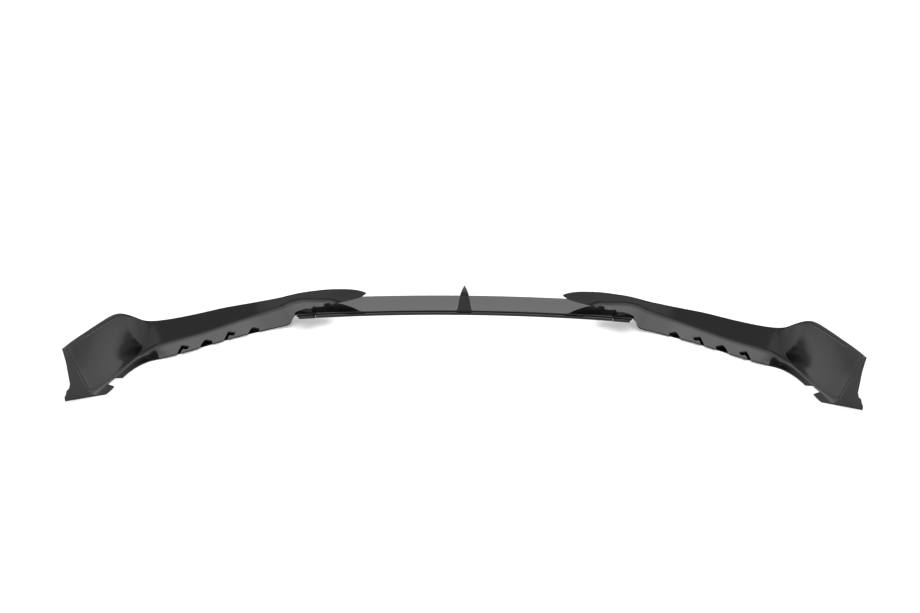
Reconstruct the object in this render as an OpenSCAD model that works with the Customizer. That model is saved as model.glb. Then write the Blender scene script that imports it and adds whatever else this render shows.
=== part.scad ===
// Front splitter lip for a car: two moulded side pieces and a raised centre blade with a fin.
// X runs across the car, +Y to the front of the car, +Z up. The lip lies as it is fitted.

/* [Overall] */
// Width over the bottom corners of the two end plates
overall_width = 1814; // [1600:2:2000]
// Wall of the moulded sheet
sheet = 3; // [2.4:0.1:4]

/* [Side piece] */
// Height of the winglet at its rear top corner
end_height = 130; // [110:1:150]
// Height of the winglet near its peak
peak = 140; // [118:1:160]
// Height of the upright wall midway along the side piece
wall_height = 67; // [55:1:80]
// Height of the upper tip that reaches over the blade
tip_height = 79; // [72:1:95]
// How far the winglet's rear edge leans outward
winglet_lean = 47; // [30:1:52]

/* [Clip cut-outs in the rear edge] */
// Inset of the first clip slot from the outer end
slot_inset = 196; // [190:1:200]
// Distance from one clip slot to the next, across the car
slot_pitch = 100; // [94:1:104]
// Width of a clip slot's narrow leg
slot_width = 6; // [4:0.5:8]
// Depth of a clip slot, leg and head together
slot_depth = 49; // [40:1:52]
// Inset of the first round-ended notch from the outer end
arch_inset = 257; // [252:1:262]
// Distance from one round-ended notch to the next, across the car
arch_pitch = 105; // [98:1:110]
// Width of the round-ended notches at the rear edge
arch_width = 25; // [18:1:28]
// Depth of the round-ended notches
arch_depth = 32; // [20:1:36]

/* [Centre blade] */
// Height of the blade's rear edge over the ground
blade_height = 40; // [34:1:46]
// Depth of the blade from the ledge to the front edge
blade_depth = 97; // [80:1:120]
// Rise of the blade from rear to front
blade_rise = 5; // [0:0.5:10]
// Depth of the rim turned down along the rear edge
rim_drop = 10.5; // [7:0.5:14]
// Gap at the joint between blade and side piece
joint_gap = 0.4; // [0.2:0.1:1]

/* [Fin] */
// Width of the fin's rear face at its foot
fin_width = 36; // [24:1:44]
// Width of the fin's rear face at its shoulder
fin_shoulder_width = 23; // [14:1:28]
// Height of the shoulder over the blade
fin_shoulder = 42; // [30:1:55]
// Height of the fin's point over the blade
fin_height = 60; // [56:1:75]
// Length of the fin along the car
fin_length = 78; // [50:1:84]

/* [Joint screws] */
// Diameter of the screw shank
screw_d = 4; // [3:0.5:5]
// Diameter of the screw head
screw_head_d = 9; // [7:0.5:11]
// Thickness of the screw head
screw_head_t = 2.5; // [1.5:0.5:4]
// Distance between the two screws of one joint
screw_pitch = 34; // [24:1:44]

/* [Hidden] */
end_turn = -24.6;                // turn of the end plate in plan
half = overall_width / 2 - sheet * sin(-end_turn);
floor_skin = sheet;              // top of the skin that lies on the ground
end_y = 52 * tan(-end_turn) + 0.4;  // the skin ends just inside the end plate
side_span = 519;                 // length across the car of a side piece, from its outer corner to the joint
joint_x = half - side_span;
tuck = 0.5;                      // how much lower the tongue lies than the blade
feather = 0.3;                   // thickness of the tip's foot where it lies over the blade
steps_per_station = 4;
bend_steps = 6;
slot_lean = 0.09;                // the slots run slightly inward
slot_head_width = 16;
slot_head_depth = 12;
slot_head_skew = 4;              // the head's front edge follows the flange
rim_y = 476;                     // rear face of the blade's rim, at the middle
blade_arc = 2400;                // radius of the rim in plan
blade_rear = 9;                  // width of the ledge between rim face and blade
ledge_drop = 2.5;
fin_y = 485;                     // rear face of the fin
arc_reach = 11.2;                // half the angle that the band covers
tongue_reach = 64;
tab_reach = 36;                  // how far the tab goes in under the blade
tab_width = 56;
tab_y = 500;
boss_h = 6;
boss_d = 10;
tab_top = blade_height - sheet - boss_h;
screw_x = joint_x - tab_reach / 2;
lip_depth = rim_y + blade_rear + blade_depth;

// Height of the blade's top surface at a distance ahead of its rim face, and at a place in plan.
function blade_top(ahead) = blade_height + blade_rise * (ahead - blade_rear) / blade_depth;
function top_at(x, y) = blade_top(norm([x, y - rim_y + blade_arc]) - blade_arc);

// Height of the skin that laps over the blade.
function over(x, y) = top_at(x, y) + joint_gap + feather;

// Stations of the side piece: inset from the outer corner, y of the crease, turn of the section in plan,
// flange width, height at the rear edge, height at the crease, outward lean at the top, height of the top,
// width of the ledge in front of the wall, share of the flange and of the wall taken by the soft bend.
stations = [
    [ 52, end_y, end_turn, 34, floor_skin, 3.5, winglet_lean, end_height, 53, 0.85, 0.28],
    [ 62,  76,     2,   29, floor_skin, 4, winglet_lean * 0.6, mix(end_height, peak, 0.55), 50, 0.6, 0.16],
    [ 74, 135,    14,   25, floor_skin, 4, winglet_lean * 0.36, mix(end_height, peak, 0.95), 47, 0.5, 0.14],
    [ 88, 195,    22,   24, floor_skin, 4, winglet_lean * 0.17, peak - 2, 45, 0.5, 0.14],
    [104, 240,    38,   37, floor_skin, 5, 4, mix(wall_height, peak, 0.6), 42, 0.55, 0.2],
    [129, 272,    48,   44, floor_skin, 6, 6, mix(wall_height, peak, 0.26), 40, 0.65, 0.35],
    [side_span * 0.3314, 312,    48.4, 51, floor_skin, 7, 8.5, wall_height + 6.5, 38, 0.7, 0.45],
    [side_span * 0.4547, 367,    46.7, 48, floor_skin, 8, 9, wall_height + 0.5, 36, 0.7, 0.45],
    [side_span * 0.5588, 423,    47,   55, floor_skin, 9, 6.5, wall_height - 4, 34, 0.7, 0.45],
    [side_span * 0.6782, 478,    54,   63, floor_skin, 13, 5, wall_height - 11, 32, 0.7, 0.45],
    [side_span * 0.7881, 510,    64,   58, floor_skin, 24, 6, wall_height - 11, 30, 0.65, 0.4],
    [side_span * 0.8208, 517,    69,   68, floor_skin + 9, 29, 8, wall_height - 10, 29, 0.62, 0.4],
    [side_span * 0.8574, 524,    78,   79, blade_height - 6, 36, 10, wall_height - 7.5, 28, 0.6, 0.4],
    [side_span * 0.9171, 527, 84, 58, blade_height + 1.3, blade_height + 3, 11, wall_height - 1.5, 26, 0.6, 0.4],
    [side_span, 527, 90, 35, over(joint_x, 492), over(joint_x, 527), 11, wall_height + 5, 24.8, 0.6, 0.4]
];

// Stations of the upper tip past the joint, in the same columns.
tip_stations = [
    [side_span + joint_gap / 2, 527, 90, 35, over(joint_x, 492), over(joint_x, 527), 11,
        wall_height + 5, 6, 0.6, 0.4],
    [side_span + 20, 527, 90, 22, over(joint_x - 20, 505), over(joint_x - 20, 527) + 1, 9,
        tip_height - 4, 6, 0.6, 0.4],
    [side_span + 48, 526, 90, 6, over(joint_x - 48, 520), blade_height + 10, 6, tip_height - 1, 5, 0.6, 0.4],
    [side_span + 84, 524, 90, 3, blade_height + 11, blade_height + 21, 2, tip_height + 1, 4.5, 0.6, 0.4],
    [side_span + 109, 520, 90, 2, blade_height + 20, blade_height + 28, 1, tip_height - 0.5, 4.5, 0.6, 0.4],
    [side_span + 126, 514.5, 90, 0.5, tip_height - 7.5, tip_height - 5.5, 0.5,
        tip_height - 3.5, 4.5, 0.6, 0.4]
];

// Smooth curve through a list of equally ranked rows, at place u from 0 to the last row.
function blend4(a, b, c, d, t) =
    0.5 * (2 * b + (c - a) * t + (2 * a - 5 * b + 4 * c - d) * t * t + (3 * b - a - 3 * c + d) * t * t * t);
function along(rows, u) =
    let (last = len(rows) - 1, i = min(floor(u), last - 1))
    blend4(rows[max(i - 1, 0)], rows[i], rows[i + 1], rows[min(i + 2, last)], u - i);
function mix(a, b, t) = a + (b - a) * t;

// Soft bend from p to q about the corner c.
function bend(p, c, q, n) =
    [for (i = [0 : n]) let (t = i / n) p * (1 - t) * (1 - t) + 2 * c * t * (1 - t) + q * t * t];

// Rear face of a section as [outward, up] pairs about the crease, from the edge up to the top.
function rear_face(s) =
    let (crease = [0, s[5]], edge = [-s[3], max(s[4], floor_skin)], top = [s[6], s[7]])
    concat(
        [edge],
        bend(mix(crease, edge, s[9]), crease, mix(crease, top, s[10]), bend_steps),
        [mix(crease, top, 0.75), top]
    );

// Whole section of a side piece: the rear face, then down the outside and back under the ledge, which has the
// thickness skin. The underside lies at the offset under from the rear face.
function side_section(s, skin = sheet, under = [0, -sheet]) =
    let (
        face = rear_face(s),
        nose = [s[8], s[5] + s[8] * blade_rise / blade_depth],
        foot = [sheet * 1.4, s[5]],
        brow = [s[6] + sheet, s[7] - 0.6]
    )
    concat(
        face, [brow],
        bend(mix(foot, brow, 0.12), foot, mix(foot, nose, 0.25), 2),
        [nose, nose + [skin / 2, -skin / 2], nose - [0, skin], [0, s[5]] + under, face[0] + under]
    );

// A section placed in space, turned in plan about its crease.
function ring(s, section) =
    [for (p = section) [half - s[0] + p[0] * cos(s[2]), s[1] + p[0] * sin(s[2]), p[1]]];

// Closed skin over a row of rings with the same number of points.
module loft(rings) {
    n = len(rings[0]);
    last = len(rings) - 1;
    polyhedron(
        points = [for (r = rings) each r],
        faces = concat(
            [[for (i = [0 : n - 1]) i]],
            [for (k = [0 : last - 1], i = [0 : n - 1])
                let (j = (i + 1) % n) [k * n + i, (k + 1) * n + i, k * n + j]],
            [for (k = [0 : last - 1], i = [0 : n - 1])
                let (j = (i + 1) % n) [(k + 1) * n + i, (k + 1) * n + j, k * n + j]],
            [[for (i = [n - 1 : -1 : 0]) last * n + i]]
        ),
        convexity = 10
    );
}

// Rings of sections along a table of stations.
function rings(rows, skin, under) =
    [for (k = [0 : (len(rows) - 1) * steps_per_station])
        let (s = along(rows, k / steps_per_station)) ring(s, side_section(s, skin, under))];

// Skin of a side piece, carried on past the joint as the upper tip.
module side_skin() {
    loft(concat(
        rings(stations, sheet, [0, -sheet]),
        rings(tip_stations, feather, [sheet, -feather / 2])
    ));
}

// Plate that closes the outer end. Drawn in its own plane: inset along the plate, then height.
module end_plate() {
    inner = rear_face(stations[0]);
    crease_inset = stations[0][0] / cos(end_turn);
    seam = [for (i = [0 : bend_steps + 3]) [crease_inset - inner[i][0], inner[i][1]]];
    outer = [
        [crease_inset - winglet_lean - sheet, end_height - 0.6], [12, end_height * 0.73],
        [15, end_height * 0.31], [12, 29], [5.7, 25], [5.2, 21], [2.8, 14], [0, 10], [0, 0]
    ];
    outline = concat(seam, outer, [[seam[0][0], 0]]);
    translate([half, 0, 0])
        rotate([0, 0, end_turn])
            rotate([90, 0, 180])
                linear_extrude(sheet) polygon(outline);
}

// Rear edge of the flange as [inset, y] pairs, for placing the cut-outs.
rear_edge = [for (u = [1 : 0.25 : 10])
    let (s = along(stations, u)) [s[0] + s[3] * cos(s[2]), s[1] - s[3] * sin(s[2])]];

// Prism that cuts the flange, drawn from its open end at the rear edge as [inward, forward] points.
module cutter(inset, points) {
    translate([half - inset, lookup(inset, rear_edge), -1])
        linear_extrude(floor_skin + 22)
            polygon([for (p = points) [-p[0] + slot_lean * -p[1], p[1]]]);
}

// Slot with a narrow leg and a wide head that turns inward.
module clip_slot(inset) {
    leg = slot_width / 2;
    neck = slot_depth - slot_head_depth;
    head = slot_head_width - leg;
    front = slot_depth + slot_head_skew;
    cutter(inset, [
        [-leg, -slot_depth], [-leg, slot_depth - 2], [2 - leg, slot_depth],
        [head - 1, front], [head + 1, front - 2],
        [head + 1, neck + slot_head_skew + 1], [leg + 2, neck], [leg, neck - 2], [leg, -slot_depth]
    ]);
}

// Notch that narrows forward to a rounded end.
module arch_notch(inset) {
    w = arch_width;
    d = arch_depth;
    cutter(inset, [
        [-0.66 * w, -d], [-0.49 * w, 0.5 * d], [-0.45 * w, 0.72 * d], [-0.4 * w, 0.86 * d],
        [-0.28 * w, 0.96 * d], [0.14 * w, d], [0.22 * w, 0.96 * d], [0.27 * w, 0.86 * d],
        [0.32 * w, 0.72 * d], [0.47 * w, 0.3 * d], [0.66 * w, -d]
    ]);
}

// Square cut-out between the end plate's foot and the start of the flange.
module foot_window() {
    translate([half, 0, -1])
        linear_extrude(floor_skin + 10)
            polygon([[-72, 88], [-81, 126], [-120, 131], [-120, 60]]);
}

module clip_cutouts() {
    for (i = [0, 1]) {
        clip_slot(slot_inset + i * slot_pitch);
        arch_notch(arch_inset + i * arch_pitch);
    }
}

// Section of the blade as [distance ahead of the rim face, height], from the rim round to the nose.
function blade_section() =
    let (
        front = blade_depth + blade_rear,
        tip = [front - sheet / 2, blade_top(front) - sheet / 2],
        rim_end = [sheet / 2, blade_height - rim_drop + sheet / 2]
    )
    concat(
        [[0, blade_height - ledge_drop], [blade_rear, blade_height - ledge_drop], [blade_rear, blade_height]],
        [for (a = [90 : -30 : -90]) tip + sheet / 2 * [cos(a), sin(a)]],
        [[blade_rear + sheet, blade_top(blade_rear + sheet) - sheet]],
        [[blade_rear + sheet, blade_height - ledge_drop - sheet], [sheet, blade_height - ledge_drop - sheet]],
        [for (a = [0 : -45 : -180]) rim_end + sheet / 2 * [cos(a), sin(a)]]
    );

// The blade's section carried round its arc, between two places across the car.
module blade_band(from_x, to_x) {
    intersection() {
        translate([0, rim_y - blade_arc, 0])
            rotate([0, 0, 90 - arc_reach])
                rotate_extrude(angle = 2 * arc_reach, $fn = 720)
                    translate([blade_arc, 0]) polygon(blade_section());
        translate([from_x, 0, 0]) cube([to_x - from_x, rim_y + blade_depth * 2, blade_height * 2]);
    }
}

// Short tongue that carries the blade's rim on into the side piece, one tuck lower than the blade.
module tongue() {
    outline = [
        [0, 420], [40, 420], [47, 430], [52, 441], [53, 450], [44, 465], [30, 477], [14, 488], [0, 497]
    ];
    intersection() {
        translate([0, 0, -tuck]) blade_band(joint_x + tuck, joint_x + tongue_reach);
        translate([joint_x, 0, 0]) linear_extrude(blade_height * 2) polygon(outline);
    }
}

// Tab under the blade's end, with two clear holes for the joint screws.
module joint_tab() {
    difference() {
        translate([joint_x - tab_reach, tab_y - tab_width / 2, tab_top - sheet])
            union() {
                cube([tab_reach + 14, tab_width, sheet]);
                translate([tab_reach + 1, 0, 0]) cube([13, tab_width, boss_h + sheet * 2]);
            }
        for (side = [-1, 1])
            translate([screw_x, tab_y + side * screw_pitch / 2, tab_top - sheet - 1])
                cylinder(d = screw_d + 1, h = sheet + 2, $fn = 32);
    }
}

module side_lip() {
    difference() {
        side_skin();
        clip_cutouts();
        foot_window();
    }
    end_plate();
    tongue();
    joint_tab();
}

// Outline of the fin at height h over the blade: flat behind, narrowing to a thin leading edge.
function fin_ring(h, half_w, rear, front) =
    let (side = [[1, 0], [0.95, 0.35], [0.6, 0.75], [0.12, 1]])
    [for (p = concat(side, [for (i = [3 : -1 : 0]) [-side[i][0], side[i][1]]]))
        [p[0] * half_w, fin_y + rear + (front - rear) * p[1], blade_height + h]];

module fin() {
    foot = fin_width / 2;
    shoulder = fin_shoulder_width / 2;
    loft([
        fin_ring(-ledge_drop, foot + 5, -1, fin_length + 5),
        fin_ring(0.8, foot + 4, 0, fin_length + 4),
        fin_ring(1.8, foot + 1.5, 0, fin_length + 1.5),
        fin_ring(4, foot, 0, fin_length - 2),
        fin_ring(fin_shoulder / 2, mix(foot, shoulder, 0.45), 0, fin_length * 0.8),
        fin_ring(fin_shoulder, shoulder, 0, fin_length * 0.6),
        fin_ring(fin_shoulder + 0.1, shoulder - 2.5, 2, fin_length * 0.58),
        fin_ring(fin_shoulder + 8, shoulder - 4, 7, fin_length * 0.53),
        fin_ring(fin_height - 3, 3, 16, fin_length * 0.44),
        fin_ring(fin_height, 0.6, 20, fin_length * 0.38)
    ]);
}

// Height where a screw boss ends, inside the blade's sheet.
function boss_top(k) = top_at(screw_x, tab_y + k * screw_pitch / 2) - sheet * 0.6;

module blade_with_fin() {
    end_x = joint_x - joint_gap;
    difference() {
        union() {
            blade_band(-end_x, end_x);
            fin();
            for (side = [-1, 1], k = [-1, 1])
                translate([side * screw_x, tab_y + k * screw_pitch / 2, tab_top + joint_gap / 2])
                    cylinder(d = boss_d, h = boss_top(k) - tab_top - joint_gap / 2, $fn = 32);
        }
        for (side = [-1, 1], k = [-1, 1])
            translate([side * screw_x, tab_y + k * screw_pitch / 2, tab_top - 1])
                cylinder(d = screw_d + 0.2, h = boss_h + 2, $fn = 32);
    }
}

// Pan-head screw pointing up, its head against the underside of the tab.
module joint_screw() {
    translate([0, 0, -screw_head_t])
        cylinder(d1 = screw_head_d - 2, d2 = screw_head_d, h = screw_head_t, $fn = 32);
    cylinder(d = screw_d, h = sheet + boss_h, $fn = 32);
}

module joint_screws() {
    for (k = [-1, 1])
        translate([screw_x, tab_y + k * screw_pitch / 2, tab_top - sheet]) joint_screw();
}

// Puts the origin at the middle of the lip's plan.
module placed() {
    translate([0, -lip_depth / 2, 0]) children();
}

module right_side_lip() {
    color("#1b1b1d") placed() side_lip();
}

module left_side_lip() {
    color("#1b1b1d") placed() mirror([1, 0, 0]) side_lip();
}

module centre_blade() {
    color("#1b1b1d") placed() blade_with_fin();
}

module right_joint_screws() {
    color("#3a3b3d") placed() joint_screws();
}

module left_joint_screws() {
    color("#3a3b3d") placed() mirror([1, 0, 0]) joint_screws();
}

right_side_lip();
left_side_lip();
centre_blade();
right_joint_screws();
left_joint_screws();
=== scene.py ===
import bpy
import math
import numpy as np
from mathutils import Matrix


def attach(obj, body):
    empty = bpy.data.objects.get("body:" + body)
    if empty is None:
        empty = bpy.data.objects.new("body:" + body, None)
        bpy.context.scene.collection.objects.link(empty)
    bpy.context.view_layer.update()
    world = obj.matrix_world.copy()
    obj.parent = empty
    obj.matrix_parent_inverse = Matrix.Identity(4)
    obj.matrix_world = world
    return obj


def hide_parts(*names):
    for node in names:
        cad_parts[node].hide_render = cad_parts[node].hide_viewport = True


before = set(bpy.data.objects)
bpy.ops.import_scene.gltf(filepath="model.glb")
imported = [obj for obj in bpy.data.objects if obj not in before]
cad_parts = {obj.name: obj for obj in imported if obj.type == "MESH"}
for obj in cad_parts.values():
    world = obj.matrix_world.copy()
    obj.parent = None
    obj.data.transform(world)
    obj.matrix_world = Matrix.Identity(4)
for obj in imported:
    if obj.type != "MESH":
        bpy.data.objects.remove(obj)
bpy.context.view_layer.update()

mm = 0.001
lip = dict(
    width=1814.0, sheet=3.0, endTurn=-24.6, sideSpan=519.0,
    jointGap=0.4, feather=0.3, backShift=291.0,  # the CAD origin is the middle of the plan
)
lip["half"] = lip["width"] / 2 - lip["sheet"] * math.sin(math.radians(-lip["endTurn"]))
lip["jointX"] = lip["half"] - lip["sideSpan"]

eyePlace = (-0.232, -2763.711, 1221.84)  # where the camera stands, in mm

blade = dict(height=40.0, depth=98.0, rise=5.0, rear=8.0, ledgeDrop=3.2, rimDrop=10.5, rimY=476.0, arc=2400.0,
             edgeRound=1.5)


def bladeTop(ahead):
    # height of the blade's top, level behind and rising to the nose: height + rise t^2.5 over the depth
    t = np.clip((ahead - blade["rear"]) / blade["depth"], 0, 1.2)
    return blade["height"] + blade["rise"] * t ** 2.5


def topAt(x, y):
    # the same height at a place in plan: distance ahead of the arc of the rim
    return bladeTop(np.hypot(x, y - blade["rimY"] + blade["arc"]) - blade["arc"])


def overTop(x, y):
    # height of what lies on the blade: its top and a gap
    return topAt(x, y) + lip["jointGap"] + lip["feather"]


half, jointX, sheet = lip["half"], lip["jointX"], lip["sheet"]

# columns: inset, y of crease, turn in plan, flange width, edge height, crease height, lean at top,
# top height, ledge width, flange share of the bend, wall share of the bend
sideRows = np.array([
    [52, 24.2, lip["endTurn"], 34, 3, 3.5, 47, 130, 53, 0.5, 0.14],
    [66, 76, 2, 25, 3, 4, 32.2, 135.5, 50, 0.25, 0.06],
    [80.5, 135, 10, 18, 3, 4, 23.3, 139.5, 47, 0.25, 0.06],
    [92, 192, 24, 22, 3, 4, 13, 138, 45, 0.25, 0.06],
    [107, 242, 38, 34, 3, 5, 7, 110.8, 42, 0.3, 0.1],
    [129, 272, 48, 44, 3, 6, 6, 85.98, 40, 0.65, 0.35],
    [172, 312, 48.4, 51, 3, 7, 8.5, 73.5, 38, 0.7, 0.45],
    [236, 367, 46.7, 48, 3, 8, 9, 67.5, 36, 0.7, 0.45],
    [290, 423, 47, 55, 3, 11, 6.5, 63, 34, 0.7, 0.45],
    [352, 478, 54, 63, 3, 18, 5, 56, 32, 0.7, 0.45],
    [409, 510, 64, 58, 3, 30, 6, 56, 30, 0.65, 0.4],
    [426, 517, 69, 68, 12, 35, 8, 57, 29, 0.62, 0.4],
    [445, 524, 78, 79, 34, 41, 10, 59.5, 28, 0.6, 0.4],
    [476, 527, 84, 58, 41.3, 46, 11, 65.5, 26, 0.6, 0.4],
    [519, 527, 90, 35, overTop(jointX, 492), overTop(jointX, 527), 11, 72, 24.8, 0.6, 0.4],
])
tipRows = np.array([
    [519.2, 527, 90, 35, overTop(jointX, 492), overTop(jointX, 527), 11, 72, 6, 0.6, 0.4],
    [539, 527, 90, 22, overTop(half - 539, 505), overTop(half - 539, 527) + 1, 9, 75, 6, 0.6, 0.4],
    [567, 526, 90, 6, overTop(half - 567, 520), 50, 6, 78, 5, 0.6, 0.4],
    [603, 524, 90, 3, 51, 61, 2, 80, 4.5, 0.6, 0.4],
    [628, 520, 90, 2, 60, 68, 1, 78.5, 4.5, 0.6, 0.4],
    [645, 514.5, 90, 0.5, 71.5, 73.5, 0.5, 75.5, 4.5, 0.6, 0.4],
])


def along(rows, u):
    # Catmull-Rom curve through the rows: half of (2b + (c-a)t + (2a-5b+4c-d)t^2 + (3b-a-3c+d)t^3)
    last = len(rows) - 1
    i = np.clip(np.floor(u).astype(int), 0, last - 1)
    t = (u - i)[:, None]
    a, b, c, d = rows[np.maximum(i - 1, 0)], rows[i], rows[i + 1], rows[np.minimum(i + 2, last)]
    return 0.5 * (2 * b + (c - a) * t + (2 * a - 5 * b + 4 * c - d) * t ** 2 + (3 * b - a - 3 * c + d) * t ** 3)


def softened(s, sigma):
    # running mean along the length with a bell-shaped weight; the ends are carried on point-symmetrically
    n = max(int(3 * sigma), 1)
    k = np.exp(-0.5 * (np.arange(-n, n + 1) / sigma) ** 2)
    k /= k.sum()
    padded = np.concatenate([2 * s[0] - s[n:0:-1], s, 2 * s[-1] - s[-2:-n - 2:-1]])
    return np.stack([np.convolve(padded[:, j], k, "valid") for j in range(s.shape[1])], axis=1)


def strip(p, q, t):
    # straight line from p to q at the shares t, for every ring at once
    return p[:, None] * (1 - t)[None, :, None] + q[:, None] * t[None, :, None]


def softBend(p, c, q, n):
    # quadratic curve p(1-t)^2 + 2ct(1-t) + qt^2
    t = np.linspace(0, 1, n + 1)[None, :, None]
    return p[:, None] * (1 - t) ** 2 + 2 * c[:, None] * t * (1 - t) + q[:, None] * t ** 2


def pair(x, z, like):
    # a point (outward, up) for every ring
    return np.stack([np.broadcast_to(x, like.shape), np.broadcast_to(z, like.shape)], axis=1).astype(float)


section = dict(bend=26, footBend=8, edgeRound=0.5, topRound=1.1, grooveDown=8.4, grooveHalf=1.8, grooveDeep=2.5,
               below=[18, 14, 10, 6, 3, 0])  # the face points that the underside follows


def lineGroove(face, top, down, strength):
    # a shallow V along the top edge: depth falls linearly from its middle line, for points near the top
    away = np.hypot(face[..., 0] - top[:, None, 0], face[..., 1] - top[:, None, 1])
    v = np.clip(1 - np.abs(away - down) / section["grooveHalf"], 0, 1)
    face[..., 0] += section["grooveDeep"] * v * strength[:, None]


def rearFace(s, groove):
    # flange line, soft bend at the crease, then the wall line up to the top round
    zero = s[:, 0]
    crease = pair(0, s[:, 5], zero)
    edge = pair(-s[:, 3], np.maximum(s[:, 4], sheet), zero)
    top = pair(s[:, 6], s[:, 7], zero)
    bendIn = crease + (edge - crease) * s[:, 9:10]
    bendOut = crease + (top - crease) * s[:, 10:11]
    wall = top - bendOut
    length = np.hypot(wall[:, 0], wall[:, 1])[:, None]
    down = wall / length
    gd, gh = section["grooveDown"], section["grooveHalf"]
    stops = [gd + gh + 0.3, gd + gh, gd + gh / 2, gd, gd - gh / 2, gd - gh, gd - gh - 0.3, section["topRound"]]
    wallPts = np.concatenate([
        strip(bendOut, bendOut + wall * 0.72, np.linspace(0, 1, 8)[1:]),
        np.stack([top - down * np.minimum(v, 0.26 * length) for v in stops], axis=1),
    ], axis=1)
    lineGroove(wallPts, top, gd, groove)
    flangeDir = (crease - edge) / np.hypot(*(crease - edge).T)[:, None]
    start = edge + flangeDir * section["edgeRound"]
    flange = strip(start, bendIn, np.linspace(0, 1, 6)[:-1])
    bend = softBend(bendIn, crease, bendOut, section["bend"])
    return edge, crease, top, np.concatenate([flange, bend, wallPts], axis=1)


def sideSection(s, skin, under, groove):
    # closed section: rear face, round top, outer wall, soft foot, ledge, round nose, underside, round rear edge
    zero = s[:, 0]
    edge, crease, top, face = rearFace(s, groove)
    nose = pair(s[:, 8], s[:, 5] + s[:, 8] * blade["rise"] / blade["depth"], zero)
    foot = pair(sheet * 1.4, s[:, 5], zero)
    brow = top + np.array([sheet, -0.6])
    r = section["topRound"]
    cap = np.stack([top + np.array(v) for v in ((0.25 * r, -0.3 * r), (0.75 * r, 0), (sheet / 2, 0.05))]
                   + [brow + np.array(v) for v in ((-0.6 * r, 0.35), (-0.2 * r, -0.1), (0, -0.8 * r))], axis=1)
    outer = brow + (foot - brow) * 0.88
    ledge = foot + (nose - foot) * 0.25
    wall = strip(cap[:, -1], outer, np.linspace(0, 1, 6)[1:-1])
    bend = softBend(outer, foot, ledge, section["footBend"])
    turn = np.radians(np.linspace(90, -90, 7))
    middle = nose - np.array([0, skin / 2])
    noseRound = np.stack([middle + skin / 2 * np.array([math.cos(a), math.sin(a)]) for a in turn], axis=1)
    ledgePts = strip(ledge, nose, np.linspace(0, 1, 5)[1:-1])
    belowCrease = (crease + under + np.array([0.5, 0]))[:, None]
    below = face[:, section["below"]] + under
    back = np.stack([edge + under * 0.84, edge + under * 0.16], axis=1)
    return np.concatenate([face, cap, wall, bend, ledgePts, noseRound, belowCrease, below, back], axis=1)


def placeRings(s, sec):
    # turned in plan about the crease: x = half - inset + a cos(turn), y = crease + a sin(turn)
    turn = np.radians(s[:, 2])[:, None]
    return np.stack([
        half - s[:, 0:1] + sec[..., 0] * np.cos(turn),
        s[:, 1:2] + sec[..., 0] * np.sin(turn) - lip["backShift"],
        sec[..., 1],
    ], axis=2) * mm


# faceCount points of a section lie on the inner face; carry says how far the points after them go with its top;
# the pairs of rows say where each change fades in
ramp = dict(slope=20.0, edgeLift=3.0, corner=7.5, lean=18.0, faceCount=47, bendMiddle=21,
            rise=[15, 15, 15, 15, 15, 15, 16.5, 17.3, 19.5, 25, 31.5, 36, 41, 46, 48.5],
            carryAt=[0, 6, 10], carry=[1, 1, 0.12, 0],
            shareRows=(4.4, 5.6), edgeRows=(4.4, 5.4), riseRows=(8, 9.4), tipRows=(0, 2), tipRiseRows=(0, 0.6))


def lifted(s, sec, rings, share, edgeLift, slope, rise, riseShare):
    # the inner face slides along the lines of sight until the flange is a ramp: over the distance p across the
    # line of sight its height is bend + k (p - pb), then a straight wall with a small lean, and a soft corner between
    eye = np.array(eyePlace)
    n = ramp["faceCount"]
    turn = np.radians(s[:, 2])
    crease = np.stack([half - s[:, 0], s[:, 1] - lip["backShift"], s[:, 5]], axis=1)
    sight = crease - eye
    along2 = sight[:, 0] * np.cos(turn) + sight[:, 1] * np.sin(turn)
    dip = np.arctan2(-sight[:, 2], along2)[:, None]
    a, z = sec[:, :n, 0], sec[:, :n, 1]
    across = a * np.sin(dip) + z * np.cos(dip)
    t = np.tan(np.radians(slope))[:, None]
    k = t / (np.sin(dip) + t * np.cos(dip))
    p0, z0 = across[:, :1], z[:, :1] + edgeLift[:, None]
    pb = across[:, ramp["bendMiddle"]:ramp["bendMiddle"] + 1]
    zb = (z0 + k * (pb - p0)) * (1 - riseShare[:, None]) + rise[:, None] * riseShare[:, None]
    kw = 1 / (np.cos(dip) + math.tan(math.radians(ramp["lean"])) * np.sin(dip))
    c = np.minimum(ramp["corner"], 0.45 * (pb - p0))
    line = np.where(across < pb, zb + k * (across - pb), zb + kw * (across - pb))
    soft = zb + k * (across - pb) + (kw - k) * (across - pb + c) ** 2 / (4 * c)
    wanted = np.where(np.abs(across - pb) < c, soft, line)
    lift = share[:, None] * (wanted - z)
    # points below the face and on the rear edge go with the nearest face point
    full = np.zeros(sec.shape[:2])
    full[:, :n] = lift
    rest = sec.shape[1] - n
    full[:, n:] = lift[:, -1:] * np.interp(np.arange(rest), ramp["carryAt"] + [rest - 1], ramp["carry"])
    full[:, -9] = 0  # the point under the crease stays
    full[:, -8:-2] = lift[:, section["below"]]
    full[:, -2:] = lift[:, :1]
    eyeM = eye * mm
    move = full[..., None] * mm / (eyeM[2] - rings[..., 2:3])
    return rings + move * (eyeM - rings)


def loftFaces(rings, points, start=0, flip=False):
    # quads between neighbouring rings of a closed section, and one face over each end
    k, i = np.meshgrid(np.arange(rings - 1), np.arange(points), indexing="ij")
    j = (i + 1) % points
    quads = np.stack([k * points + i, (k + 1) * points + i, (k + 1) * points + j, k * points + j], axis=-1)
    quads = quads.reshape(-1, 4) + start
    final = start + (rings - 1) * points
    faces = quads.tolist() + [list(range(start, start + points)), list(range(final + points - 1, final - 1, -1))]
    return [f[::-1] for f in faces] if flip else faces


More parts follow.
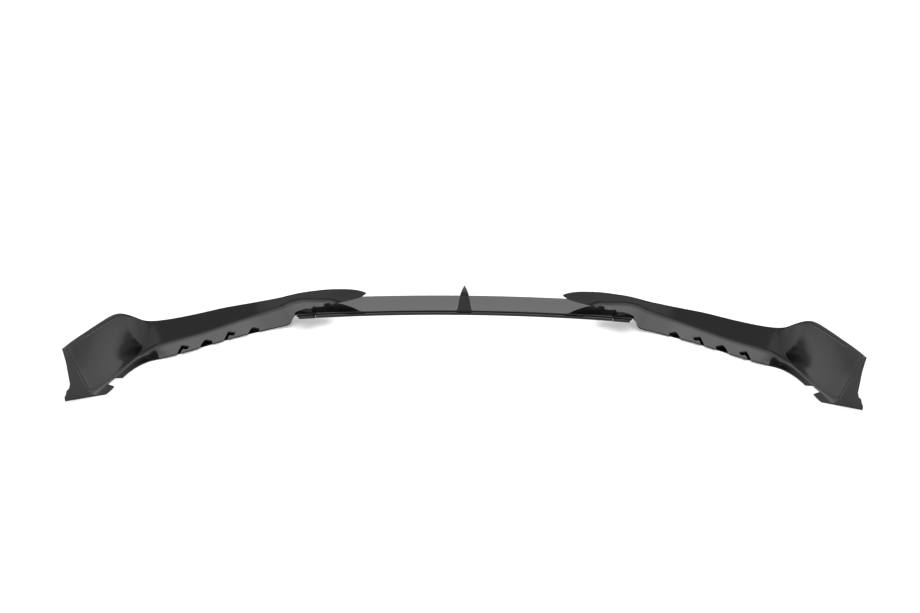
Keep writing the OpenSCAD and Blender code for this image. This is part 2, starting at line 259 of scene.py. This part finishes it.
def newPiece(name, points, faces):
    # an object in the scene from points in metres and faces
    mesh = bpy.data.meshes.new(name)
    mesh.from_pydata(np.asarray(points).reshape(-1, 3), [], faces)
    mesh.validate()
    obj = bpy.data.objects.new(name, mesh)
    bpy.context.scene.collection.objects.link(obj)
    return obj


def drop(obj):
    # removes an object with its mesh
    mesh = obj.data
    bpy.data.objects.remove(obj)
    bpy.data.meshes.remove(mesh)


def applied(obj):
    # the mesh with its modifiers carried out
    bpy.context.view_layer.update()
    solid = bpy.data.meshes.new_from_object(obj.evaluated_get(bpy.context.evaluated_depsgraph_get()))
    obj.modifiers.clear()
    obj.data = solid


def cutBy(obj, tool, operation="DIFFERENCE"):
    # the object less the tool, or what they share; the tool is used up
    m = obj.modifiers.new("cut", "BOOLEAN")
    m.operation, m.solver, m.object = operation, "EXACT", tool
    applied(obj)
    drop(tool)


def joined(name, objs):
    # several closed shells in one mesh
    points, faces, start = [], [], 0
    for o in objs:
        v = np.empty(len(o.data.vertices) * 3)
        o.data.vertices.foreach_get("co", v)
        points.append(v.reshape(-1, 3))
        faces += [[i + start for i in p.vertices] for p in o.data.polygons]
        start += len(o.data.vertices)
        drop(o)
    return newPiece(name, np.concatenate(points), faces)


def finishShading(obj, angle=32):
    # smooth, but sharp where faces meet at more than the angle
    mesh = obj.data
    mesh.shade_smooth()
    mesh.set_sharp_from_angle(angle=math.radians(angle))


def prism(name, outline, low, high):
    # a plan outline carried straight up; outline runs anticlockwise
    outline = np.asarray(outline, float)
    n = len(outline)
    points = np.concatenate([np.c_[outline, np.full(n, low)], np.c_[outline, np.full(n, high)]]) * mm
    faces = [[i, (i + 1) % n, n + (i + 1) % n, n + i] for i in range(n)]
    faces += [list(range(n - 1, -1, -1)), list(range(n, 2 * n))]
    return newPiece(name, points, faces)


def rounded(outline, radius, steps=5):
    # each corner becomes a quadratic curve between points at the distance radius along its two sides
    p = np.asarray(outline, float)
    before, after = np.roll(p, 1, axis=0) - p, np.roll(p, -1, axis=0) - p
    lb, la = np.hypot(*before.T), np.hypot(*after.T)
    r = np.minimum(np.minimum(np.broadcast_to(radius, len(p)), 0.45 * lb), 0.45 * la)
    return softBend(p + before * (r / lb)[:, None], p, p + after * (r / la)[:, None], steps).reshape(-1, 2)


def turningArea(p):
    # twice the area, positive for an anticlockwise outline: sum of each x times the next y less the next x times y
    return np.sum(p[:, 0] * np.roll(p[:, 1], -1) - np.roll(p[:, 0], -1) * p[:, 1])


def anticlockwise(p):
    # the outline, turned round where its area is negative
    return p if turningArea(p) > 0 else p[::-1]


def tangents(p):
    # unit direction at each point of a closed outline, from the point before it to the point after it
    t = np.roll(p, -1, axis=0) - np.roll(p, 1, axis=0)
    return t / np.maximum(np.hypot(*t.T), 1e-6)[:, None]


skinParts = dict(ringsPerRow=18, soften=4.0, grooveFrom=0.85, grooveTo=3.2)


def fade(v, start, end):
    # 0 before start, 1 after end, 3t^2 - 2t^3 between
    t = np.clip((v - start) / (end - start), 0, 1)
    return t * t * (3 - 2 * t)


plate = dict(outer=[[0, 129.4], [12, 95], [15, 40.3], [12, 29], [5.7, 25], [5.2, 21], [2.8, 14], [0, 10], [0, 0]],
             round=2, bevel=0.45, seamLow=3.2, seamDeep=2.4, seamTurn=-20.0, seamFirst=24, seamOver=6, seamRings=4,
             seamStep=0.02)
u = np.linspace(0, 14, 14 * skinParts["ringsPerRow"] + 1)
raw = along(sideRows, u)
side = softened(raw, skinParts["soften"])
keep = np.clip(np.abs(u - 14) / 0.5, 0, 1)[:, None]  # the joint end stays as it is
side = raw * (1 - keep) + side * keep
grooveFade = np.clip((u - skinParts["grooveFrom"]) / 0.15, 0, 1) * np.clip((skinParts["grooveTo"] - u) / 0.5, 0, 1)
tu = np.linspace(0, 5, 5 * 14 + 1)
tip = along(tipRows, tu)
sideSec = sideSection(side, sheet, np.array([0, -sheet]), grooveFade)
tipSec = sideSection(tip, lip["feather"], np.array([sheet, -lip["feather"] / 2]), tu * 0)
share = fade(u, *ramp["shareRows"])
edgeLift = ramp["edgeLift"] * fade(u, *ramp["edgeRows"])
rise = along(np.array(ramp["rise"])[:, None], u)[:, 0]
sideRings = lifted(side, sideSec, placeRings(side, sideSec), share, edgeLift, ramp["slope"] + 0 * u, rise,
                   fade(u, *ramp["riseRows"]))
tipRings = lifted(tip, tipSec, placeRings(tip, tipSec), 1 - fade(tu, *ramp["tipRows"]), 0 * tu, ramp["slope"] + 0 * tu,
                  ramp["rise"][-1] + 0 * tu, 1 - fade(tu, *ramp["tipRiseRows"]))

# seam beside the end plate: the wall points of the first rings step back, fading in above the crease
order = np.arange(sideRings.shape[1])
away = np.clip((order - plate["seamFirst"]) / plate["seamOver"], 0, 1) * (order < ramp["faceCount"] - 1)
seamTurn = math.radians(plate["seamTurn"])
outward = np.array([math.cos(seamTurn), math.sin(seamTurn), 0]) * away[:, None] * plate["seamDeep"] * mm
k = plate["seamRings"]
step = sideRings[k - 1:k] + plate["seamStep"] * (sideRings[k:k + 1] - sideRings[k - 1:k])
allRings = np.concatenate([sideRings[:k] + outward, step, sideRings[k:], tipRings])
skin = newPiece("rightSideLip", allRings, loftFaces(len(allRings), allRings.shape[1]))
print("side skin:", len(skin.data.vertices), "points")

cutOuts = dict(slotInset=(196, 296), slotWidth=8.0, slotDepth=49.0, slotHeadWidth=17.5, slotHeadDepth=19.0,
               slotSkew=4.0, slotRound=1.8, archInset=(257, 362), archWidth=25.0, archDepth=32.0, archRound=7,
               archShape=[[-0.66, -1], [-0.49, 0.5], [-0.42, 1], [0.27, 1], [0.34, 0.66], [0.66, -1]],
               window=[[72, 88], [81, 126], [120, 131], [120, 60]], windowRound=2.5, windowHigh=13,
               low=-1, high=45, lean=0.09, climb=0.12, level=4)
rearEdge = np.stack([
    raw[:, 0] + raw[:, 3] * np.cos(np.radians(raw[:, 2])),
    raw[:, 1] - raw[:, 3] * np.sin(np.radians(raw[:, 2])),
], axis=1)[u >= 1]


def edgeOutline(inset, points):
    # [inward, forward] points from the rear edge, leaning inward as they go forward
    order = np.argsort(rearEdge[:, 0])
    y0 = np.interp(inset, rearEdge[order, 0], rearEdge[order, 1])
    p = np.asarray(points, float)
    flat = np.c_[half - inset - p[:, 0] - cutOuts["lean"] * p[:, 1], y0 + p[:, 1] - lip["backShift"]]
    lift = ramp["edgeLift"] + cutOuts["climb"] * np.clip(p[:, 1], 0, None)  # the ramp's height at each point
    eye = np.array(eyePlace)
    return anticlockwise(flat + (lift / (eye[2] - cutOuts["level"]))[:, None] * (eye[:2] - flat))


def slotTool(inset):
    # a narrow leg from the rear edge with a head to one side
    w, d = cutOuts["slotWidth"] / 2, cutOuts["slotDepth"]
    neck, head, front = d - cutOuts["slotHeadDepth"], cutOuts["slotHeadWidth"] - w, d + cutOuts["slotSkew"]
    outline = edgeOutline(inset, [[-w, -d], [-w, d], [head + 1, front], [head + 1, neck + cutOuts["slotSkew"]],
                                  [w, neck], [w, -d]])
    return prism("slotTool", rounded(outline, cutOuts["slotRound"]), cutOuts["low"], cutOuts["high"])


def archTool(inset):
    # a round-ended notch: its shape in shares of width and depth
    w, d = cutOuts["archWidth"], cutOuts["archDepth"]
    outline = edgeOutline(inset, [[a * w, b * d] for a, b in cutOuts["archShape"]])
    return prism("archTool", rounded(outline, cutOuts["archRound"], 8), cutOuts["low"], cutOuts["high"])


window = anticlockwise(np.array([[half - a, y] for a, y in cutOuts["window"]]) - [0, lip["backShift"]])
tools = [slotTool(v) for v in cutOuts["slotInset"]] + [archTool(v) for v in cutOuts["archInset"]]
tools.append(prism("windowTool", rounded(window, cutOuts["windowRound"]), cutOuts["low"], cutOuts["windowHigh"]))
cutBy(skin, joined("cutTools", tools))
print("cut-outs made:", len(skin.data.polygons), "faces")

floorSheet = dict(rowFrom=4.9, rowTo=9.9, short=1.5, low=0.3, high=2.4)


def bottomSheet():
    # thin level sheet that closes the hollow under the ramp, from the crease to short of the rear edge
    f = floorSheet
    s = side[(u >= f["rowFrom"]) & (u <= f["rowTo"])]
    zero = s[:, 0]
    rear = -s[:, 3] + f["short"]
    sec = np.stack([pair(rear, f["low"], zero), pair(0, f["low"], zero),
                    pair(0, f["high"], zero), pair(rear, f["high"], zero)], axis=1)
    return newPiece("bottomSheet", placeRings(s, sec), loftFaces(len(s), 4))


def endPlate():
    # flat outline in its own plane, from the seam along the skin's end to the outer edge, then thickened
    s = along(sideRows, np.array([0.0]))
    face = rearFace(s, np.array([0.0]))[-1]
    creaseInset = s[0, 0] / math.cos(math.radians(lip["endTurn"]))
    seam = np.c_[creaseInset - face[0, :, 0], face[0, :, 1]]
    seam = seam[seam[:, 1] > plate["seamLow"]]
    outer = np.array(plate["outer"], float)
    outer[0, 0] = creaseInset - s[0, 6] - sheet
    outline = np.concatenate([seam, outer[:1], rounded(outer, plate["round"])[6:-6], outer[-1:], [[seam[0, 0], 0]]])
    n = len(outline)
    inset = plate["bevel"]
    area = turningArea(outline)
    tangent = tangents(outline)
    inward = np.c_[-tangent[:, 1], tangent[:, 0]] * (1 if area > 0 else -1)
    layers = [(outline + inward * inset, 0.0), (outline, inset),
              (outline, sheet - inset), (outline + inward * inset, sheet)]
    turn = math.radians(lip["endTurn"])
    rings = []
    for flat, depth in layers:
        a, e = -flat[:, 0], depth
        rings.append(np.c_[half + a * math.cos(turn) - e * math.sin(turn),
                           a * math.sin(turn) + e * math.cos(turn) - lip["backShift"], flat[:, 1]])
    return newPiece("endPlate", np.stack(rings) * mm, loftFaces(4, n, flip=area > 0))


def bladeSection():
    # [ahead of the rim face, height]: rim face, rounded ledge, step, top, round nose, underside, rolled rim end
    b = blade
    front = b["depth"] + b["rear"]
    ledge = b["height"] - b["ledgeDrop"]
    r = b["edgeRound"]
    upper = rounded([[0, b["height"] - b["rimDrop"] + r], [0, ledge], [b["rear"], ledge], [b["rear"], b["height"]],
                     [b["rear"] + 6, bladeTop(b["rear"] + 6)]], [0, 0.35, 0.1, 0.5, 0], 4)[5:-5]
    top = [[v, bladeTop(v)] for v in np.linspace(b["rear"] + sheet, front - r, 12)]
    nose = np.array([front - r, bladeTop(front) - r])
    round1 = [nose + r * np.array([math.cos(a), math.sin(a)]) for a in np.radians(np.linspace(80, -90, 9))]
    inner = b["rear"] + sheet
    under = [[inner, bladeTop(inner) - sheet], [inner, ledge - sheet], [sheet, ledge - sheet]]
    end = np.array([r, b["height"] - b["rimDrop"] + r])
    round2 = [end + r * np.array([math.cos(a), math.sin(a)]) for a in np.radians(np.linspace(0, -180, 9))]
    return np.concatenate([upper, top, round1, under, round2])


def bladeBand(name, xs, lower=0.0, dip=0.0, chamfer=0.6):
    # section carried round the arc: y = rim - arc + sqrt((arc + ahead)^2 - x^2); the ends draw in by a small
    # chamfer, and the height falls by dip times the distance ahead
    sec = bladeSection()
    rings = []
    for i, x in enumerate(xs):
        p = sec
        if chamfer and i in (0, len(xs) - 1):
            tangent = tangents(sec)
            p = sec + np.c_[tangent[:, 1], -tangent[:, 0]] * -chamfer
        y = blade["rimY"] - blade["arc"] + np.sqrt((blade["arc"] + p[:, 0]) ** 2 - x ** 2)
        height = p[:, 1] - lower - dip * np.clip(p[:, 0], 0, None)
        rings.append(np.c_[np.full(len(p), x), y - lip["backShift"], height])
    return newPiece(name, np.stack(rings) * mm, loftFaces(len(xs), len(sec)))


tongue = dict(tuck=0.5, dip=0.085, reach=64.0, rings=40, round=6, low=5, high=90,
              outline=[[-2, 420], [24, 424], [38, 434], [49, 446], [58, 456], [54, 472], [42, 488], [24, 503],
                       [-2, 511]])
tabSize = dict(reach=36.0, grip=14.0, width=56.0, y=500.0, bossHeight=6.0, pitch=34.0, hole=5.0)
tabTop = blade["height"] - sheet - tabSize["bossHeight"]
screwX = jointX - tabSize["reach"] / 2


def ringTool(name, x, y, radius, low, high, steps=32):
    # an upright round bar
    a = np.linspace(0, 2 * np.pi, steps, endpoint=False)
    return prism(name, np.c_[x + radius * np.cos(a), y - lip["backShift"] + radius * np.sin(a)], low, high)


def jointTab():
    # plate under the blade's end with two screw holes, and the post that carries it
    t = tabSize
    x0, x1, y0, y1 = jointX - t["reach"], jointX + t["grip"], t["y"] - t["width"] / 2, t["y"] + t["width"] / 2
    flat = rounded([[x0, y0], [x1, y0], [x1, y1], [x0, y1]], 3)
    body = prism("tabPlate", flat - [0, lip["backShift"]], tabTop - sheet, tabTop)
    holes = [ringTool("tabHole", screwX, t["y"] + k * t["pitch"] / 2, t["hole"] / 2, tabTop - 9, tabTop + 5)
             for k in (-1, 1)]
    cutBy(body, joined("tabHoles", holes))
    post = rounded([[jointX + 1, y0], [x1, y0], [x1, y1], [jointX + 1, y1]], 2)
    upright = prism("tabPost", post - [0, lip["backShift"]], tabTop - sheet + 0.2, tabTop + t["bossHeight"] + sheet)
    return [body, upright]


xs = np.linspace(jointX + tongue["tuck"], jointX + tongue["reach"], tongue["rings"])
tongueBand = bladeBand("tongueBand", np.r_[xs[0], xs[0] + 0.5, xs[2:]], tongue["tuck"], tongue["dip"])
tonguePlan = rounded(np.array(tongue["outline"], float) + [jointX, -lip["backShift"]], tongue["round"])
tongueMask = prism("tongueMask", anticlockwise(tonguePlan), tongue["low"], tongue["high"])
cutBy(tongueBand, tongueMask, "INTERSECT")
rightLip = joined("rightSideLip", [skin, bottomSheet(), endPlate(), tongueBand] + jointTab())
finishShading(rightLip)
rightLip.visible_shadow = False  # keeps the floor nearly white, as in the photograph

leftLip = bpy.data.objects.new("leftSideLip", rightLip.data.copy())
bpy.context.scene.collection.objects.link(leftLip)
leftLip.data.transform(Matrix.Scale(-1, 4, (1, 0, 0)))
leftLip.data.flip_normals()
leftLip.visible_shadow = False
print("side pieces done:", len(rightLip.data.vertices), "points each")

fin = dict(y=485.0, foot=18.0, shoulder=11.5, shoulderHeight=42.0, height=60.0, length=78.0)


def finOutline(w, rear, front, r=1.8):
    # flat back with round corners, then sides that close forward as w (1 - t^2.1)^0.55
    t = np.linspace(0, 1, 26)[1:] ** 0.8
    corner = softBend(np.array([[w - r, 0.0]]), np.array([[w, 0.0]]), np.array([[w, r]]), 5)[0]
    sides = np.c_[w * (1 - t ** 2.1) ** 0.55, r + (front - rear - r) * t]
    right = np.concatenate([[[w * 0.4, 0]], corner, sides])
    left = right[::-1][1:] * [-1, 1]
    p = np.concatenate([right, left])
    return p + [0, rear]


def finRows():
    # height over the blade, half width, rear, front and corner radius of each ring, from the foot to the point
    f, e = fin["foot"], fin["shoulder"]
    rows = [(-2.5, f + 5, -1.2, fin["length"] + 5, 3.0)]
    for a in np.linspace(0, 1, 8):  # fillet at the foot
        rows.append((0.2 + 3.8 * a, f + 4.2 * (1 - a) ** 2.2, -0.2 * (1 - a),
                     fin["length"] + 4 * (1 - a) ** 2 - 2 * a, 2.2))
    for a in np.linspace(0, 1, 12)[1:]:
        h = 4 + (fin["shoulderHeight"] - 4.6) * a
        k = (h - 4) / 38
        rows.append((h, f + (e - f) * (k * 0.9 + 0.1 * (1 - (1 - k) ** 2)), 0.0,
                     fin["length"] * (0.974 - 0.374 * k), 1.8))
    s = fin["shoulderHeight"]
    rows += [(s, e - 0.7, 0.5, fin["length"] * 0.595, 1.6), (s + 0.15, e - 2.8, 3.4, fin["length"] * 0.57, 1.2),
             (s + 1.9, e - 2.8, 3.6, fin["length"] * 0.56, 1.2), (s + 2.05, e - 1.3, 0.9, fin["length"] * 0.57, 1.2),
             (s + 3.0, e - 1.2, 1.0, fin["length"] * 0.57, 1.2), (s + 8.5, e - 3.2, 4.5, fin["length"] * 0.54, 1.2),
             (s + 9.5, e - 4.0, 6.0, fin["length"] * 0.53, 1.2), (s + 13, e - 6.5, 10.5, fin["length"] * 0.48, 1.0),
             (s + 16, 2.6, 16, fin["length"] * 0.43, 0.7), (fin["height"] - 0.5, 1.0, 19, fin["length"] * 0.4, 0.4),
             (fin["height"], 0.4, 20, fin["length"] * 0.38, 0.15)]
    return rows


finRings = []
for h, w, rear, front, r in finRows():
    p = finOutline(w, rear, front, min(r, w * 0.6))
    finRings.append(np.c_[p[:, 0], fin["y"] + p[:, 1] - lip["backShift"], np.full(len(p), blade["height"] + h)])
finObj = newPiece("finBody", np.stack(finRings) * mm, loftFaces(len(finRings), len(finRings[0]), flip=True))


def boss(x, y, low, high, steps=40):
    # turned profile: bore, lower chamfer, outside
    prof = np.array([[2.1, high], [2.1, low + 0.3], [2.4, low], [4.6, low], [5.0, low + 0.4], [5.0, high]])
    a = np.linspace(0, 2 * np.pi, steps, endpoint=False)
    pts = np.stack([np.c_[x + prof[:, 0] * math.cos(v), y + prof[:, 0] * math.sin(v), prof[:, 1]] for v in a])
    n = len(prof)
    k, i = np.meshgrid(np.arange(steps), np.arange(n), indexing="ij")
    after, j = (k + 1) % steps, (i + 1) % n
    faces = np.stack([k * n + i, after * n + i, after * n + j, k * n + j], axis=-1)
    return newPiece("boss", pts * mm, faces.reshape(-1, 4).tolist())


bosses = []
for sideSign in (-1, 1):
    for k in (-1, 1):
        y = tabSize["y"] + k * tabSize["pitch"] / 2
        high = float(topAt(screwX, y)) - sheet * 0.6
        bosses.append(boss(sideSign * screwX, y - lip["backShift"], tabTop + lip["jointGap"] / 2, high))
endX = jointX - lip["jointGap"]
bandXs = np.r_[-endX, -endX + 0.6, np.linspace(-endX + 8, endX - 8, 120), endX - 0.6, endX]
bladeObj = joined("centreBlade", [bladeBand("band", bandXs), finObj] + bosses)
finishShading(bladeObj)
bladeObj.visible_shadow = False  # the floor under the blade stays as bright as in the photograph
bladeObj.visible_diffuse = False  # nor does it darken the floor by bounced light
print("blade done:", len(bladeObj.data.vertices), "points")


def makeMaterial(name, base, rough, ior, grain, metallic=0.0, paintedSheen=None):
    # plain finish with a fine orange-peel bump and faint roughness patches, both in object space; paintedSheen is a
    # painted reflection: it makes the base paler towards the two ends, from and to a distance in metres, in place of
    # the brighter reflections there, and adds satin times the base to the roughness
    m = bpy.data.materials.new(name)
    m.use_nodes = True
    nt = m.node_tree
    bsdf = nt.nodes["Principled BSDF"]
    bsdf.inputs["Base Color"].default_value = (*base, 1)
    bsdf.inputs["IOR"].default_value = ior
    bsdf.inputs["Metallic"].default_value = metallic
    coord = nt.nodes.new("ShaderNodeTexCoord")
    patches = nt.nodes.new("ShaderNodeTexNoise")
    patches.inputs["Scale"].default_value = grain["patchScale"]
    patches.inputs["Detail"].default_value = 3
    spread = nt.nodes.new("ShaderNodeMapRange")
    spread.inputs["To Min"].default_value = rough[0]
    spread.inputs["To Max"].default_value = rough[1]
    peel = nt.nodes.new("ShaderNodeTexNoise")
    peel.inputs["Scale"].default_value = grain["peelScale"]
    peel.inputs["Detail"].default_value = 2
    bump = nt.nodes.new("ShaderNodeBump")
    bump.inputs["Strength"].default_value = grain["strength"]
    bump.inputs["Distance"].default_value = grain["distance"]
    if paintedSheen:
        # painted reflection: the base colour grows paler with the distance from the middle, towards the winglets and
        # end plates
        place = nt.nodes.new("ShaderNodeSeparateXYZ")
        size = nt.nodes.new("ShaderNodeMath")
        size.operation = "ABSOLUTE"
        tone = nt.nodes.new("ShaderNodeMapRange")
        tone.interpolation_type = "SMOOTHSTEP"
        for key, v in zip(("From Min", "From Max", "To Min", "To Max"), paintedSheen["tone"]):
            tone.inputs[key].default_value = v
        nt.links.new(coord.outputs["Object"], place.inputs["Vector"])
        nt.links.new(place.outputs["X"], size.inputs[0])
        nt.links.new(size.outputs["Value"], tone.inputs["Value"])
        nt.links.new(tone.outputs["Result"], bsdf.inputs["Base Color"])
        satin = nt.nodes.new("ShaderNodeMath")
        satin.operation = "MULTIPLY_ADD"
        satin.inputs[1].default_value = paintedSheen["satin"]
        nt.links.new(tone.outputs["Result"], satin.inputs[0])
        nt.links.new(spread.outputs["Result"], satin.inputs[2])
    nt.links.new(coord.outputs["Object"], patches.inputs["Vector"])
    nt.links.new(coord.outputs["Object"], peel.inputs["Vector"])
    nt.links.new(patches.outputs["Fac"], spread.inputs["Value"])
    nt.links.new(satin.outputs["Value"] if paintedSheen else spread.outputs["Result"], bsdf.inputs["Roughness"])
    nt.links.new(peel.outputs["Fac"], bump.inputs["Height"])
    nt.links.new(bump.outputs["Normal"], bsdf.inputs["Normal"])
    return m


# the paler base towards the two ends is a painted reflection on the winglets and end plates; the added roughness there
# is real satin
glossBlack = makeMaterial("glossBlackMoulding", (0.0006, 0.0006, 0.0007), (0.045, 0.075), 1.41,
                          dict(patchScale=18, peelScale=260, strength=0.06, distance=0.0002),
                          paintedSheen=dict(tone=(0.785, 0.83, 0.0006, 0.013), satin=9.0))
screwSteel = makeMaterial("screwSteel", (0.42, 0.42, 0.43), (0.25, 0.42), 2.4,
                          dict(patchScale=300, peelScale=900, strength=0.2, distance=0.0001), metallic=1.0)
for obj, node in ((rightLip, "right_side_lip"), (leftLip, "left_side_lip"), (bladeObj, "centre_blade")):
    obj.data.materials.clear()
    obj.data.materials.append(glossBlack)
    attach(obj, "root")
    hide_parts(node)
for node in ("right_joint_screws", "left_joint_screws"):
    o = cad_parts[node]
    for s in o.material_slots:
        s.material = screwSteel
print("finishes on")

# the sky's brightness by the height of the direction, ahead, to the sides and behind
studio = dict(floorSize=40.0, floorTone=0.78, scale=4.0, rearBlend=(-0.65, -0.4), frontBlend=(0.05, 0.45),
              far=[(-1.0, 1.0), (0.0, 1.0), (0.2, 1.05), (0.37, 1.24), (0.5, 1.6), (0.62, 2.2), (0.72, 2.9),
                   (0.8, 3.1), (1.0, 2.6)],
              side=[(-1.0, 0.85), (0.0, 0.85), (0.3, 0.85), (0.6, 0.95), (0.75, 1.3), (0.9, 2.0), (1.0, 2.4)],
              behind=[(-1.0, 1.2), (0.0, 1.3), (0.15, 1.5), (0.36, 1.6), (0.5, 0.9), (0.62, 0.8), (0.9, 0.7),
                      (1.0, 2.0)])
floorMat = bpy.data.materials.new("paleFloor")
floorMat.use_nodes = True
nt = floorMat.node_tree
bsdf = nt.nodes["Principled BSDF"]
bsdf.inputs["Roughness"].default_value = 0.9
bsdf.inputs["Specular IOR Level"].default_value = 0.0
coord = nt.nodes.new("ShaderNodeTexCoord")
cloud = nt.nodes.new("ShaderNodeTexNoise")
cloud.inputs["Scale"].default_value = 2.0
tint = nt.nodes.new("ShaderNodeMapRange")
tint.inputs["To Min"].default_value = studio["floorTone"] * 0.99
tint.inputs["To Max"].default_value = studio["floorTone"] * 1.01
nt.links.new(coord.outputs["Object"], cloud.inputs["Vector"])
nt.links.new(cloud.outputs["Fac"], tint.inputs["Value"])
nt.links.new(tint.outputs["Result"], bsdf.inputs["Base Color"])
f = studio["floorSize"] / 2
floor = newPiece("floor", [[-f, -f, 0], [f, -f, 0], [f, f, 0], [-f, f, 0]], [[0, 1, 2, 3]])
floor.data.materials.append(floorMat)

world = bpy.data.worlds.new("softStudio")
bpy.context.scene.world = world
world.use_nodes = True
nt = world.node_tree
back = nt.nodes["Background"]
back.inputs["Strength"].default_value = studio["scale"]
coord = nt.nodes.new("ShaderNodeTexCoord")
split = nt.nodes.new("ShaderNodeSeparateXYZ")
nt.links.new(coord.outputs["Generated"], split.inputs["Vector"])


def skyRamp(stops):
    # brightness by height of the direction, divided by the background's strength
    unit = nt.nodes.new("ShaderNodeMapRange")
    unit.inputs["From Min"].default_value = -1
    nt.links.new(split.outputs["Z"], unit.inputs["Value"])
    sky = nt.nodes.new("ShaderNodeValToRGB")
    while len(sky.color_ramp.elements) < len(stops):
        sky.color_ramp.elements.new(0.5)
    for e, (z, level) in zip(sky.color_ramp.elements, stops):
        e.position = (z + 1) / 2
        e.color = (level / studio["scale"],) * 3 + (1,)
    nt.links.new(unit.outputs["Result"], sky.inputs["Fac"])
    return sky.outputs["Color"]


def blended(first, second, start, end):
    # from one brightness to the other as the direction's y goes from start to end
    part = nt.nodes.new("ShaderNodeMapRange")
    part.interpolation_type = "SMOOTHSTEP"
    part.inputs["From Min"].default_value = start
    part.inputs["From Max"].default_value = end
    nt.links.new(split.outputs["Y"], part.inputs["Value"])
    blend = nt.nodes.new("ShaderNodeMix")
    blend.data_type = "RGBA"
    nt.links.new(part.outputs["Result"], blend.inputs["Factor"])
    nt.links.new(first, blend.inputs[6])
    nt.links.new(second, blend.inputs[7])
    return blend.outputs[2]


rearHalf = blended(skyRamp(studio["behind"]), skyRamp(studio["side"]), *studio["rearBlend"])
nt.links.new(blended(rearHalf, skyRamp(studio["far"]), *studio["frontBlend"]), back.inputs["Color"])

view = dict(place=[v * mm for v in eyePlace], right=(0.99993625, 0.00723564, 0.00866795),
            up=(-0.01072281, 0.36807043, 0.92973608), forward=(-0.00353682, 0.92976976, -0.36812455), lens=47.357)
cam = bpy.data.cameras.new("camera")
cam.sensor_width, cam.lens, cam.clip_start, cam.clip_end = 36.0, view["lens"], 0.05, 100
camObj = bpy.data.objects.new("camera", cam)
bpy.context.scene.collection.objects.link(camObj)
r, up, fw = view["right"], view["up"], view["forward"]
camObj.matrix_world = Matrix([[r[i], up[i], -fw[i], view["place"][i]] for i in range(3)] + [[0, 0, 0, 1]])
bpy.context.scene.camera = camObj
vs = bpy.context.scene.view_settings
vs.view_transform, vs.look, vs.exposure, vs.gamma = "Standard", "None", 0.0, 1.0

print("studio on")
